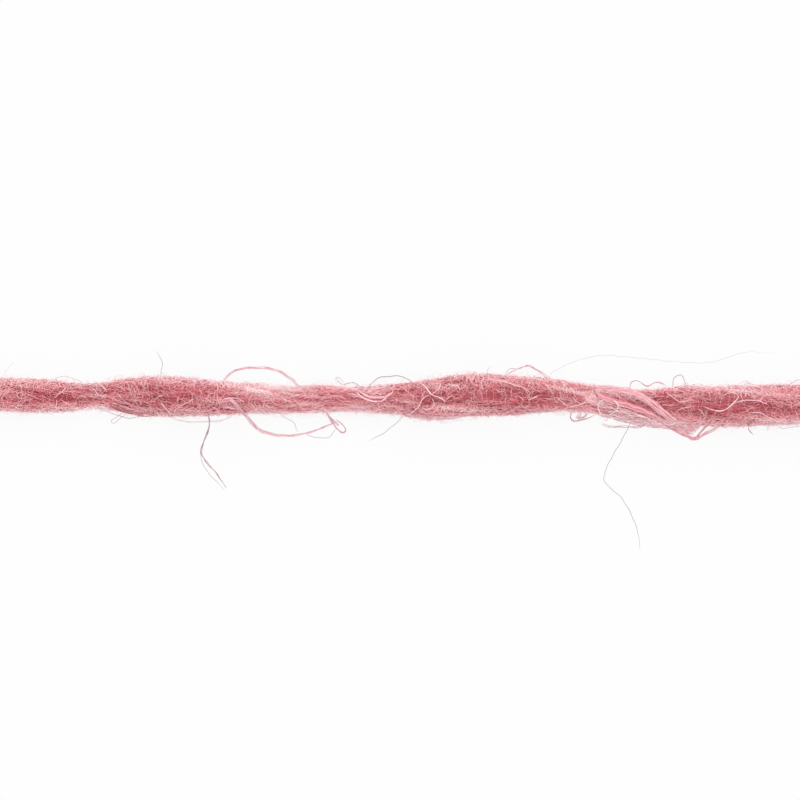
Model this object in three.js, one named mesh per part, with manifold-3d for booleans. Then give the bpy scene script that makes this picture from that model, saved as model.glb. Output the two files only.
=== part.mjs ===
// A cut length of soft single-ply knitting yarn that lies straight on a surface.
// Millimetres: +X runs along the strand, +Y across it and +Z up. The surface is z = 0.

import * as THREE from "three";
import { mergeVertices } from "three/addons/utils/BufferGeometryUtils.js";
import Module from "manifold-3d";

const wasm = await Module();
wasm.setup();

// Strand
const CUT_LENGTH = 90; // between the cut faces, without the frayed tips
const SECTION_GAPS = 91; // odd, so that no section lies at mid-length
const SECTION_POINTS = 32;
const PRESSED_FLAT = 0.3; // how much of the round underside the surface flattens

// Twist, raised as ridges that turn once round the strand in each pitch
const TWIST_PITCH = 70;
const BUNDLES = 2; // broad halves of the strand that wind round each other
const BUNDLE_RELIEF = 0.06; // share of the radius
const RIDGES = 6;
const RIDGE_RELIEF = 0.05; // share of the radius

// Cut ends
const CUT_SOFTENING = 1.2; // length over which the strand narrows to its cut
const CUT_SHARE = 0.82; // of the section that is left at the cut
const TIPS_PER_END = 9;
const TIP_ROOT = 1.5; // how far a tip starts inside the strand
const TIP_REACH = { shortest: 1.0, longest: 2.4 };
const TIP_THICK = { root: 0.7, end: 0.16 };
const TIP_TURN = 2.4; // radians round the section from one tip to the next
const TIP_RING = { inner: 0.35, outer: 0.72 }; // shares of the section's half-width

// Loose fibres
const FIBRE_STEP = 0.8;
const FIBRE_TAPER = 0.6; // share of the thickness that is left at a free end
const DROP_REACH = 1.3; // how far beside the strand a fibre comes down to the surface
const ROOT_DEPTH_REACH = 1.4; // how far along its route a fibre rises out of the strand

const ROSE_WOOL = new THREE.MeshStandardMaterial({ color: 0xcf868b, roughness: 0.95, metalness: 0 });

// Far and near edge of the strand from above, and its thickness above the surface
const STATIONS = [
  { along: -45, far: 1.7, near: -1.1, high: 2.5 },
  { along: -40, far: 1.9, near: -1.0, high: 2.6 },
  { along: -36, far: 1.7, near: -1.1, high: 2.5 },
  { along: -32, far: 1.3, near: -0.9, high: 2.1 },
  { along: -30, far: 1.4, near: -0.7, high: 2.1 },
  { along: -28, far: 1.8, near: -1.1, high: 2.5 },
  { along: -25, far: 2.1, near: -1.5, high: 3.0 },
  { along: -21, far: 2.0, near: -1.6, high: 3.2 },
  { along: -17, far: 1.6, near: -1.5, high: 2.9 },
  { along: -14, far: 1.3, near: -1.3, high: 2.5 },
  { along: -11, far: 1.0, near: -1.3, high: 2.2 },
  { along: -8, far: 1.3, near: -1.2, high: 2.2 },
  { along: -5, far: 1.0, near: -1.0, high: 2.0 },
  { along: -2, far: 1.1, near: -1.2, high: 2.3 },
  { along: 0, far: 1.4, near: -1.3, high: 2.6 },
  { along: 2, far: 1.6, near: -1.7, high: 3.0 },
  { along: 4, far: 1.9, near: -1.8, high: 3.1 },
  { along: 7, far: 2.4, near: -1.6, high: 3.3 },
  { along: 11, far: 2.2, near: -1.5, high: 3.2 },
  { along: 15, far: 2.0, near: -1.2, high: 2.9 },
  { along: 18, far: 1.5, near: -1.2, high: 2.5 },
  { along: 21, far: 1.1, near: -1.6, high: 2.3 },
  { along: 24, far: 0.8, near: -2.2, high: 2.5 },
  { along: 28, far: 1.1, near: -2.4, high: 3.0 },
  { along: 32, far: 1.1, near: -2.5, high: 3.1 },
  { along: 36, far: 1.1, near: -2.4, high: 3.1 },
  { along: 40, far: 1.2, near: -2.3, high: 3.0 },
  { along: 45, far: 1.2, near: -2.2, high: 2.9 },
];

// Fibres that have worked loose: thickness, which ends are rooted, and the route seen from above
const LOOSE_FIBRES = [
  { name: "short upper fibre", thick: 0.14, rooted: "first",
    route: [[-23.6, 1.2], [-24.0, 2.6], [-23.9, 3.5], [-24.5, 4.9]] },
  { name: "lower edge fibre", thick: 0.14, rooted: "both",
    route: [[-24.6, -0.9], [-22.0, -2.2], [-19.5, -2.3], [-17.7, -2.1], [-15.6, -0.9]] },
  { name: "small lower fork", thick: 0.14, rooted: "first",
    route: [[-27.0, -0.5], [-28.0, -1.6], [-28.5, -2.3], [-29.2, -2.0]] },
  { name: "upper arch", thick: 0.26, rooted: "both",
    route: [[-17.9, 1.2], [-17.4, 2.3], [-16.4, 3], [-14.4, 3.2], [-12.6, 3], [-11, 2.1], [-9.6, 0.7]] },
  { name: "lower loop", thick: 0.34, rooted: "first",
    route: [[-18.2, 0.1], [-16.9, 0], [-15.6, -1.5], [-14.2, -3.1], [-11.8, -3.7], [-9.2, -3.4],
      [-6.8, -2.5]] },
  { name: "tail with a folded end", thick: 0.42, rooted: "first",
    route: [[-7.9, -0.5], [-7.2, -1.7], [-6.6, -2.5], [-5.6, -3.4]] },
  { name: "left hanging lock", thick: 0.26, rooted: "first",
    route: [[-19.1, -1.0], [-19.2, -2.8], [-20.0, -5.2], [-19.6, -6.2], [-18.6, -7.3], [-17.5, -8.9]] },
  { name: "left hanging fibre", thick: 0.14, rooted: "first",
    route: [[-19.0, -0.6], [-19.3, -2.9], [-20.1, -5.4], [-19.6, -7.0], [-18.4, -8.4], [-17.6, -9.2]] },
  { name: "hook over the slim part", thick: 0.14, rooted: "first",
    route: [[-3.2, 0.6], [-4.6, 1.6], [-5.9, 1.5], [-6.4, 2.1]] },
  { name: "small upper arch", thick: 0.14, rooted: "both",
    route: [[-3.6, 0.6], [-2.4, 2.0], [-1.0, 2.3], [0.4, 2.2], [1.8, 1.2]] },
  { name: "straight lower fibre", thick: 0.14, rooted: "first",
    route: [[1.6, -0.6], [0.2, -1.9], [-1.6, -3.4], [-3.1, -4.2]] },
  { name: "upper arch of the bulge", thick: 0.18, rooted: "both",
    route: [[9.8, 1.6], [10.9, 2.9], [12.8, 3.3], [14.2, 2.7], [15.0, 1.3]] },
  { name: "long upper fibre", thick: 0.12, rooted: "first",
    route: [[14.2, 1.3], [15.5, 2.8], [19.5, 4.3], [23.3, 4.2], [27.3, 3.8], [31.2, 3.7], [34.7, 4.7],
      [37.5, 4.6]] },
  { name: "lower wisp", thick: 0.2, rooted: "both",
    route: [[17.0, -0.5], [17.2, -2.0], [18.4, -2.1], [20.2, -0.9]] },
  { name: "lowest wisp", thick: 0.22, rooted: "first",
    route: [[25.4, -1.4], [23.8, -2.5], [22.3, -2.8], [20.3, -2.6]] },
  { name: "long hanging fibre", thick: 0.13, rooted: "first",
    route: [[23.4, -1.0], [22.9, -3.0], [20.8, -6.9], [20.6, -8.3], [22.4, -10.1], [23.8, -12.9],
      [24.2, -15.2]] },
  { name: "upper ribbon", thick: 0.36, rooted: "first",
    route: [[19.2, 1.0], [22.0, 0.9], [25.6, -0.9], [29.5, -4.0]] },
  { name: "lower ribbon", thick: 0.36, rooted: "first",
    route: [[18.8, 0.6], [21.0, 0.0], [25.3, -1.7], [29.4, -4.0]] },
  { name: "ribbon return", thick: 0.32, rooted: "first",
    route: [[32.4, -1.4], [31.4, -3.1], [29.5, -4.0]] },
  { name: "lock between the ribbons", thick: 0.5, rooted: "first",
    route: [[26.0, -2.1], [28.0, -2.9], [29.4, -3.5]] },
  { name: "small upper loop", thick: 0.14, rooted: "both",
    route: [[27.2, 0.5], [27.5, 2.0], [28.4, 2.4], [28.6, 0.5]] },
  { name: "right lower fibre", thick: 0.16, rooted: "first",
    route: [[34.6, -1.4], [35.0, -3.0], [35.5, -3.6]] },
];

// Value of a station column at any place along the strand, on a smooth curve through the rows
function stationValue(column, along) {
  const last = STATIONS.length - 1;
  let row = STATIONS.findIndex((station) => station.along > along) - 1;
  row = row < 0 ? last - 1 : row;
  const slope = (k) => {
    const before = STATIONS[Math.max(k - 1, 0)];
    const after = STATIONS[Math.min(k + 1, last)];
    return (after[column] - before[column]) / (after.along - before.along);
  };
  const from = STATIONS[row];
  const to = STATIONS[row + 1];
  const span = to.along - from.along;
  const t = (along - from.along) / span;
  const startShare = (1 + 2 * t) * (1 - t) ** 2;
  const bend = slope(row) * t * (1 - t) ** 2 - slope(row + 1) * t ** 2 * (1 - t);
  return startShare * from[column] + (1 - startShare) * to[column] + span * bend;
}

// Middle, half-width and thickness of the strand at a place along it, narrowed at the cuts
function sectionAt(along) {
  const toCut = Math.min((CUT_LENGTH / 2 - Math.abs(along)) / CUT_SOFTENING, 1);
  const share = 1 - (1 - CUT_SHARE) * (1 - toCut) ** 2;
  const far = stationValue("far", along);
  const near = stationValue("near", along);
  return {
    middle: (far + near) / 2,
    halfWidth: (share * (far - near)) / 2,
    high: share * stationValue("high", along),
  };
}

// Share of the plain radius at an angle round the strand, with its twisted bundles and ridges
function twistRelief(along, angle) {
  const turned = angle - (2 * Math.PI * along) / TWIST_PITCH;
  return 1 + BUNDLE_RELIEF * Math.cos(BUNDLES * turned) + RIDGE_RELIEF * Math.cos(RIDGES * turned);
}

// Ring of points round the strand, whose underside is pressed flat on the surface
function strandRing(along) {
  const { middle, halfWidth, high } = sectionAt(along);
  const halfHigh = (high + PRESSED_FLAT) / 2;
  const axisHeight = high - halfHigh;
  const ring = [];
  for (let k = 0; k < SECTION_POINTS; k += 1) {
    const angle = (2 * Math.PI * k) / SECTION_POINTS;
    const radius = twistRelief(along, angle);
    const across = middle + halfWidth * radius * Math.cos(angle);
    const height = axisHeight + halfHigh * radius * Math.sin(angle);
    ring.push(new THREE.Vector3(along, across, Math.max(height, 0)));
  }
  return ring;
}

// Four-cornered ring with a level underside, facing along a direction of travel
function fibreRing(centre, travel, thick) {
  const side = new THREE.Vector3(-travel.y, travel.x, 0).normalize().multiplyScalar(thick / 2);
  const up = new THREE.Vector3(0, 0, thick / 2);
  const corner = (sideways, upward) =>
    centre.clone().addScaledVector(side, sideways).addScaledVector(up, upward);
  return [corner(1, -1), corner(1, 1), corner(-1, 1), corner(-1, -1)];
}

// Closed solid through a row of rings, with a flat cap at each end
function solidThrough(rings) {
  const count = rings[0].length;
  const points = rings.flat();
  const faces = [];
  for (let ring = 0; ring < rings.length - 1; ring += 1) {
    for (let k = 0; k < count; k += 1) {
      const here = ring * count + k;
      const next = ring * count + ((k + 1) % count);
      faces.push(here, next, here + count, next, next + count, here + count);
    }
  }
  const capRing = (ring, start, facesForward) => {
    const centre = ring.reduce((sum, point) => sum.add(point), new THREE.Vector3()).divideScalar(count);
    const hub = points.push(centre) - 1;
    for (let k = 0; k < count; k += 1) {
      const here = start + k;
      const next = start + ((k + 1) % count);
      faces.push(hub, ...(facesForward ? [here, next] : [next, here]));
    }
  };
  capRing(rings[0], 0, false);
  capRing(rings[rings.length - 1], (rings.length - 1) * count, true);
  return solidFrom(new THREE.BufferGeometry().setFromPoints(points).setIndex(faces));
}

function solidFrom(geometry) {
  const merged = mergeVertices(geometry);
  return new wasm.Manifold(new wasm.Mesh({
    numProp: 3,
    vertProperties: merged.attributes.position.array,
    triVerts: Uint32Array.from(merged.index.array),
  }));
}

function geometryFrom(solid) {
  const { vertProperties, triVerts } = solid.getMesh();
  const geometry = new THREE.BufferGeometry();
  geometry.setAttribute("position", new THREE.BufferAttribute(vertProperties, 3));
  geometry.setIndex(new THREE.BufferAttribute(triVerts, 1));
  return geometry;
}

function strandSolid() {
  const rings = [];
  for (let k = 0; k <= SECTION_GAPS; k += 1) {
    rings.push(strandRing(CUT_LENGTH * (k / SECTION_GAPS - 0.5)));
  }
  return solidThrough(rings);
}

// Height at which a fibre lies over the strand, or comes down beside it to the surface
function restingHeight(along, across) {
  const { middle, halfWidth, high } = sectionAt(along);
  const outward = Math.abs(across - middle);
  if (outward < halfWidth) {
    return (high / 2) * (1 + Math.sqrt(1 - (outward / halfWidth) ** 2));
  }
  const fallen = Math.min((outward - halfWidth) / DROP_REACH, 1);
  return (high / 2) * (1 - fallen) ** 2;
}

// A loose fibre: sunk into the strand at each root, and level on the surface where it reaches it
function fibreSolid({ thick, rooted, route }) {
  const corners = route.map(([along, across]) => new THREE.Vector3(along, across, 0));
  const plan = new THREE.CatmullRomCurve3(corners);
  const length = plan.getLength();
  const steps = Math.ceil(length / FIBRE_STEP);
  const rings = plan.getSpacedPoints(steps).map((point, k) => {
    const share = k / steps;
    const toRoot = length * (rooted === "both" ? Math.min(share, 1 - share) : share);
    const risen = Math.min(toRoot / ROOT_DEPTH_REACH, 1);
    const middleHeight = sectionAt(point.x).high / 2;
    const free = restingHeight(point.x, point.y);
    const width = rooted === "both" ? thick : thick * (1 - (1 - FIBRE_TAPER) * share);
    point.z = Math.max(middleHeight + (free - middleHeight) * risen, width / 2);
    return fibreRing(point, plan.getTangentAt(share), width);
  });
  return solidThrough(rings);
}

// Frayed tips at one cut, end = -1 or 1, set in a spiral over the section
function cutTips(end) {
  const cut = (end * CUT_LENGTH) / 2;
  const { middle, halfWidth, high } = sectionAt(cut);
  const tips = [];
  for (let k = 0; k < TIPS_PER_END; k += 1) {
    const share = k / (TIPS_PER_END - 1);
    const outward = THREE.MathUtils.lerp(TIP_RING.inner, TIP_RING.outer, share);
    const reach = THREE.MathUtils.lerp(TIP_REACH.longest, TIP_REACH.shortest, share);
    const across = middle + halfWidth * outward * Math.cos(TIP_TURN * k);
    const height = (high / 2) * (1 + outward * Math.sin(TIP_TURN * k));
    const root = new THREE.Vector3(cut - end * TIP_ROOT, across, height);
    const tip = new THREE.Vector3(cut + end * reach, 2 * across - middle, height);
    const travel = tip.clone().sub(root);
    tips.push(solidThrough([
      fibreRing(root, travel, TIP_THICK.root),
      fibreRing(tip, travel, TIP_THICK.end),
    ]));
  }
  return tips;
}

function yarnSolid() {
  const pieces = [...LOOSE_FIBRES.map(fibreSolid), ...cutTips(-1), ...cutTips(1)];
  return pieces.reduce((whole, piece) => whole.add(piece), strandSolid());
}

const yarn = new THREE.Mesh(geometryFrom(yarnSolid()), ROSE_WOOL);
yarn.name = "yarn";

const part = new THREE.Group();
part.add(yarn);

export default part;
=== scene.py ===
import math

import bmesh
import bpy
import numpy as np
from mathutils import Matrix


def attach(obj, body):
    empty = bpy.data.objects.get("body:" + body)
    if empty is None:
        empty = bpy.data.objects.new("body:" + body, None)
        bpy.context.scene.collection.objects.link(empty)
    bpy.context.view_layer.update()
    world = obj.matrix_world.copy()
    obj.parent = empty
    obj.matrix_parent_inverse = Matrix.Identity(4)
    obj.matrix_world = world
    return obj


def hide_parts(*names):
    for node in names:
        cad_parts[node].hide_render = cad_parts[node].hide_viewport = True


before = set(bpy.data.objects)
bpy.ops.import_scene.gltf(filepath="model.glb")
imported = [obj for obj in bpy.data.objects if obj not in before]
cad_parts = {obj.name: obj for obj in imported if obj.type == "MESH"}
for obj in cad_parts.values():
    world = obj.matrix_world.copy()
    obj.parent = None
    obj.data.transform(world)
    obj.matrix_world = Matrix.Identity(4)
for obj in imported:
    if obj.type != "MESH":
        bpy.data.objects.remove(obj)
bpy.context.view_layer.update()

# Camera: it looks straight down on the strand, square on, and its view is 80 mm wide there, so that
# both cut ends lie just outside it.
MM = 0.001
VIEW_WIDTH = 80 * MM
VIEW_LEVEL = 1.5 * MM  # height at which the view is that wide
VIEW_CENTRE = (0, -0.1 * MM)
LENS = 100
SENSOR = 36
NEAR_CLIP = 10 * MM

camera_data = bpy.data.cameras.new("camera")
camera_data.lens = LENS
camera_data.sensor_width = SENSOR
camera_data.clip_start = NEAR_CLIP
camera = bpy.data.objects.new("camera", camera_data)
camera.location = (*VIEW_CENTRE, VIEW_LEVEL + VIEW_WIDTH * LENS / SENSOR)
bpy.context.scene.collection.objects.link(camera)
bpy.context.scene.camera = camera

# Strand core: combed wool, spun into one uneven ply with a slow right-handed twist. It is a tube
# through oval sections that are pressed flat underneath, a little inside the fibres that cover it.
CUT_LENGTH = 90  # this and the sizes below are in millimetres
STRAND_DIAMETER = 3.5  # about the mean width, with the felted fibres
TWIST_PITCH = 70
PRESSED_FLAT = 0.3  # how much of the round underside the surface flattens
BUNDLES = 2  # broad halves of the strand that wind round each other
BUNDLE_RELIEF = 0.06  # share of the radius
RIDGES = 6
RIDGE_RELIEF = 0.05  # share of the radius
CUT_SOFTENING = 1.2  # length over which the strand narrows to its cut
CUT_SHARE = 0.82  # of the section that is left at the cut
CORE_DEPTH = 0.25  # how far the core lies under the strand's surface
CORE_GAPS = 180
CORE_POINTS = 48
STATIONS = np.array(
    [
        (-45, 1.7, -1.1, 2.5),
        (-40, 1.9, -1.0, 2.6),
        (-36, 1.7, -1.1, 2.5),
        (-32, 1.3, -0.9, 2.1),
        (-30, 1.4, -0.7, 2.1),
        (-28, 1.8, -1.1, 2.5),
        (-25, 2.1, -1.5, 3.0),
        (-21, 2.0, -1.6, 3.2),
        (-17, 1.6, -1.5, 2.9),
        (-14, 1.3, -1.3, 2.5),
        (-11, 1.0, -1.3, 2.2),
        (-8, 1.3, -1.2, 2.2),
        (-5, 1.0, -1.0, 2.0),
        (-2, 1.1, -1.2, 2.3),
        (0, 1.4, -1.3, 2.6),
        (2, 1.6, -1.7, 3.0),
        (4, 1.9, -1.8, 3.1),
        (7, 2.4, -1.6, 3.3),
        (11, 2.2, -1.5, 3.2),
        (15, 2.0, -1.2, 2.9),
        (18, 1.5, -1.2, 2.5),
        (21, 1.1, -1.6, 2.3),
        (24, 0.8, -2.2, 2.5),
        (28, 1.1, -2.4, 3.0),
        (32, 1.1, -2.5, 3.1),
        (36, 1.1, -2.4, 3.1),
        (40, 1.2, -2.3, 3.0),
        (45, 1.2, -2.2, 2.9),
    ],
    dtype=[("along", float), ("far", float), ("near", float), ("high", float)],
)


def smooth_through(places, values, at):
    """Values at given places on a smooth curve through a row of known ones."""
    last = len(places) - 1
    rows = np.arange(last + 1)
    before, after = np.maximum(rows - 1, 0), np.minimum(rows + 1, last)
    slopes = (values[after] - values[before]) / (places[after] - places[before])
    at = np.clip(at, places[0], places[last])
    row = np.clip(np.searchsorted(places, at, side="right") - 1, 0, last - 1)
    span = places[row + 1] - places[row]
    t = (at - places[row]) / span
    start_share = (1 + 2 * t) * (1 - t) ** 2
    bend = slopes[row] * t * (1 - t) ** 2 - slopes[row + 1] * t**2 * (1 - t)
    return start_share * values[row] + (1 - start_share) * values[row + 1] + span * bend


def section_at(along):
    """Middle, half-width and thickness of the strand, narrowed at the cuts."""
    to_cut = np.clip((CUT_LENGTH / 2 - np.abs(along)) / CUT_SOFTENING, 0, 1)
    share = 1 - (1 - CUT_SHARE) * (1 - to_cut) ** 2
    far = smooth_through(STATIONS["along"], STATIONS["far"], along)
    near = smooth_through(STATIONS["along"], STATIONS["near"], along)
    high = smooth_through(STATIONS["along"], STATIONS["high"], along)
    return (far + near) / 2, share * (far - near) / 2, share * high


def strand_points(along, angle, lift):
    """Points on the twisted strand, at an angle round it, lifted off its surface."""
    middle, half_width, high = section_at(along)
    half_high = (high + PRESSED_FLAT) / 2
    turned = angle - 2 * math.pi * along / TWIST_PITCH
    relief = 1 + BUNDLE_RELIEF * np.cos(BUNDLES * turned) + RIDGE_RELIEF * np.cos(RIDGES * turned)
    across = middle + (half_width * relief + lift) * np.cos(angle)
    height = high - half_high + (half_high * relief + lift) * np.sin(angle)
    return np.stack(np.broadcast_arrays(along, across, height), axis=-1)


def place_ring(ring, along):
    """Puts a ring of the core's vertices in its place in the strand, level with the surface below."""
    angle = np.linspace(0, 2 * math.pi, len(ring), endpoint=False)
    points = strand_points(along, angle, -CORE_DEPTH)
    points[:, 2] = np.maximum(points[:, 2], 0)
    for vertex, point in zip(ring, points * MM):
        vertex.co = point


def new_object(name, data):
    """An object of the scene, at the origin, that holds a mesh or a light."""
    piece = bpy.data.objects.new(name, data)
    bpy.context.scene.collection.objects.link(piece)
    return piece


def core_piece():
    """The core: a ring that is extruded from one cut to the other and closed at both."""
    shape = bmesh.new()
    ring = bmesh.ops.create_circle(shape, segments=CORE_POINTS, radius=1)["verts"]
    first_edges = edges = list(shape.edges)
    place_ring(ring, -CUT_LENGTH / 2)
    for gap in range(1, CORE_GAPS + 1):
        made = bmesh.ops.extrude_edge_only(shape, edges=edges)["geom"]
        ring = [item for item in made if isinstance(item, bmesh.types.BMVert)]
        edges = [item for item in made if isinstance(item, bmesh.types.BMEdge)]
        place_ring(ring, CUT_LENGTH * (gap / CORE_GAPS - 0.5))
    bmesh.ops.holes_fill(shape, edges=first_edges + edges, sides=CORE_POINTS)
    bmesh.ops.recalc_face_normals(shape, faces=shape.faces)
    for face in shape.faces:
        face.smooth = len(face.verts) == 4
    mesh = bpy.data.meshes.new("core")
    shape.to_mesh(mesh)
    shape.free()
    return new_object("core", mesh)


def ramp_node(nodes, stops):
    """Colour ramp through the given places and colours."""
    ramp = nodes.new("ShaderNodeValToRGB")
    ramp.color_ramp.elements.remove(ramp.color_ramp.elements[1])
    for k, (place, colour) in enumerate(stops):
        stop = ramp.color_ramp.elements[0] if k == 0 else ramp.color_ramp.elements.new(place)
        stop.position = place
        stop.color = (*colour, 1)
    return ramp


DEEP_CRIMSON = (0.54, 0.14, 0.165)
DEEP_ROSE = (0.625, 0.19, 0.215)
CORE_STOPS = ((0.3, DEEP_CRIMSON), (0.7, DEEP_ROSE))
CORE_ROUGHNESS = 0.9
CORE_SHINE = 0.1
GRAIN_STRETCH = (250, 1500, 1500)  # spots in a metre along the strand and across it
GRAIN_DETAIL = 3


def core_material():
    """Packed wool, seen between the fibres: matt, with a grain that runs along the strand."""
    material = bpy.data.materials.new("packed_wool")
    material.use_nodes = True
    nodes, links = material.node_tree.nodes, material.node_tree.links
    shader = nodes["Principled BSDF"]
    shader.inputs["Roughness"].default_value = CORE_ROUGHNESS
    shader.inputs["Specular IOR Level"].default_value = CORE_SHINE
    place = nodes.new("ShaderNodeTexCoord")
    stretch = nodes.new("ShaderNodeMapping")
    stretch.inputs["Scale"].default_value = GRAIN_STRETCH
    grain = nodes.new("ShaderNodeTexNoise")
    grain.inputs["Scale"].default_value = 1
    grain.inputs["Detail"].default_value = GRAIN_DETAIL
    ramp = ramp_node(nodes, CORE_STOPS)
    links.new(place.outputs["Object"], stretch.inputs["Vector"])
    links.new(stretch.outputs["Vector"], grain.inputs["Vector"])
    links.new(grain.outputs["Fac"], ramp.inputs["Fac"])
    links.new(ramp.outputs["Color"], shader.inputs["Base Color"])
    return material


core = core_piece()
core.data.materials.append(core_material())
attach(core, "root")
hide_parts("yarn")

# Fibres of the strand: single wool fibres and thin locks of them, spun in lengthwise round the twist
# or felted over it in short curls. Each is a closed three-sided tube that thins to its ends.
SIDES = 3
TIP_SHARE = 0.35  # of a fibre's thickness that is left at its tip
THINNING = 0.15  # share of its length over which a fibre thins to an end
STREAKS = 26
STREAK_SHARE = 0.09  # spread of the streaks together, on the tint's scale from 0 to 1
STREAK_FEWEST = 2  # bands of one streak round the strand
STREAK_MOST = 14
STREAK_TURNING = 0.12  # most that a streak leaves the twist by, in radians a millimetre
RELIEF_HEIGHT = 0.4  # rise of a full step of tint, in millimetres
PAINTED_EDGE_LIGHT = 0.25  # painted light: how much paler the fibres are painted towards the strand's edges
PAINTED_EDGE_LIGHT_POWER = 4
DRAWS = 6  # places drawn for each fibre, of which the crowded ones are kept
PLAIN_CHANCE = 0.5  # that a drawn place is kept where the wool is neither bundled nor hollow
ARCH_FULLNESS = 0.6  # 1 lets a fibre rise in a round arch, less in one that is flatter on top
WAVES_ALONG = (1, 3)
RANDOM_SEED = 7
# Deeper red hollows between the bundles: they sink the wool, and their deeper red is painted shade. A
# depth below 0 is a paler, raised place, and its paleness is painted light.
PAINTED_SHADE_HOLLOWS = np.array(
    [
        (-36.0, 0.0, 5.5, 0.70, 0.20),
        (-33.2, 0.1, 2.5, 0.60, 0.20),
        (-29.5, 0.8, 2.5, 0.50, 0.12),
        (-26.5, -0.5, 2.5, 0.50, 0.14),
        (-24.8, 0.2, 2.2, 0.80, 0.18),
        (-22.5, 0.2, 2.8, 0.90, 0.20),
        (-20.3, 0.6, 1.6, 0.60, 0.12),
        (-18.3, 0.5, 2.2, 0.50, 0.10),
        (-18.8, -0.6, 1.8, 0.50, 0.12),
        (-15.4, -0.6, 1.0, 0.50, 0.16),
        (-5.4, 0.0, 2.8, 0.45, 0.14),
        (-0.3, 0.2, 0.9, 1.00, 0.12),
        (0.8, 1.0, 1.4, 0.50, 0.10),
        (2.6, -0.5, 1.6, 0.55, 0.32),
        (6.0, 0.0, 3.0, 0.80, 0.10),
        (11.8, 0.2, 3.2, 1.20, 0.30),
        (17.0, -0.1, 2.0, 0.60, 0.06),
        (24.3, -0.6, 1.4, 0.40, -0.10),
        (26.3, 0.0, 1.4, 0.80, 0.28),
        (27.0, -0.9, 1.4, 0.40, 0.14),
        (31.0, -0.8, 2.8, 0.90, 0.32),
        (35.6, -0.9, 4.0, 0.80, 0.26),
        (-29.8, -0.6, 1.4, 0.40, -0.30),
        (-12.6, 0.9, 4.0, 0.60, -0.30),
        (-4.5, -0.9, 2.0, 0.35, -0.20),
        (-2.8, 0.0, 1.2, 1.00, -0.10),
        (20.2, 0.2, 1.8, 1.20, -0.20),
        (25.5, -2.1, 2.5, 0.50, -0.25),
        (28.2, -0.2, 0.8, 0.40, -0.15),
    ],
    dtype=[("along", float), ("across", float), ("length", float), ("width", float), ("depth", float)],
)

rng = np.random.default_rng(RANDOM_SEED)
streak_turns = rng.integers(STREAK_FEWEST, STREAK_MOST + 1, STREAKS)
streak_rates = streak_turns * rng.uniform(-STREAK_TURNING, STREAK_TURNING, STREAKS)
streak_phases = rng.uniform(0, 2 * math.pi, STREAKS)


def bundling_and_painted_shade(along, angle):
    """Uneven bundling of the wool: above 0 on a raised pale bundle, below 0 in a hollow. Where the
    fibres' tint takes it, the table's hollows are painted shade and its raised places painted light.
    """
    middle, half_width, _ = section_at(along)
    across = middle + half_width * np.cos(angle)
    turned = angle - 2 * math.pi * along / TWIST_PITCH
    raised = np.zeros(across.shape)
    for turns, rate, phase in zip(streak_turns, streak_rates, streak_phases):
        raised += math.sqrt(2 / STREAKS) * STREAK_SHARE * np.cos(turns * turned + rate * along + phase)
    # Each hollow sinks the wool and darkens the tint of the fibres over it as painted shade; a raised one
    # makes it paler as painted light.
    for hollow in PAINTED_SHADE_HOLLOWS:
        beside = (along - hollow["along"]) / hollow["length"]
        aside = (across - hollow["across"]) / hollow["width"]
        raised -= hollow["depth"] * np.exp(-(beside**2) - aside**2)
    return raised


def tube_points(routes, thick):
    """Corners of the fibres' tubes, ring after ring, carried along each route without a twist."""
    travel = np.gradient(routes, axis=1)
    travel /= np.linalg.norm(travel, axis=2, keepdims=True)
    side = np.empty_like(travel)
    turned = np.cross(travel[:, 0], np.eye(3)[np.argmin(np.abs(travel[:, 0]), axis=1)])
    for step in range(routes.shape[1]):
        turned = turned - (turned * travel[:, step]).sum(axis=1, keepdims=True) * travel[:, step]
        turned /= np.linalg.norm(turned, axis=1, keepdims=True)
        side[:, step] = turned
    up = np.cross(travel, side)
    turn = 2 * math.pi * np.arange(SIDES)[:, None] / SIDES
    ring = np.cos(turn) * side[:, :, None] + np.sin(turn) * up[:, :, None]
    return (routes[:, :, None] + (thick / 2)[:, :, None, None] * ring).reshape(-1, 3)


def tube_triangles(count, steps, first):
    """Triangles of the fibres' tubes with their closed ends, counted from the first corner on."""
    corner = np.arange(SIDES)
    start = first + np.arange(count * steps).reshape(count, steps, 1) * SIDES
    here, beside = start + corner, start + (corner + 1) % SIDES
    a, b, c, d = here[:, :-1], beside[:, :-1], beside[:, 1:], here[:, 1:]
    walls = [np.stack([a, b, d], -1).reshape(-1, 3), np.stack([b, c, d], -1).reshape(-1, 3)]
    return walls + [here[:, 0, ::-1], here[:, -1]]


def fibre_mesh(name, points, triangles, tints):
    """Mesh of many small triangles, with the tint as a value at each point."""
    mesh = bpy.data.meshes.new(name)
    mesh.vertices.add(len(points))
    mesh.vertices.foreach_set("co", points.ravel())
    mesh.loops.add(triangles.size)
    mesh.loops.foreach_set("vertex_index", triangles.ravel())
    mesh.polygons.add(len(triangles))
    mesh.polygons.foreach_set("loop_start", np.arange(0, triangles.size, 3))
    mesh.attributes.new("tint", "FLOAT", "POINT").data.foreach_set("value", tints)
    mesh.update(calc_edges=True)
    return mesh


def fibre_piece(name, batches, material):
    """One piece of closed fibres. A batch is routes, thickness and tint at each of their points."""
    points, triangles, tints, used = [], [], [], 0
    for routes, thick, tint in batches:
        count, steps = routes.shape[:2]
        points.append(tube_points(routes, thick))
        triangles += tube_triangles(count, steps, used)
        tints.append(np.repeat(np.clip(tint, 0, 1).ravel(), SIDES))
        used += count * steps * SIDES
    mesh = fibre_mesh(name, np.concatenate(points) * MM, np.concatenate(triangles), np.concatenate(tints))
    mesh.materials.append(material)
    piece = new_object(name, mesh)
    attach(piece, "root")
    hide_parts("yarn")
    return piece


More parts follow.
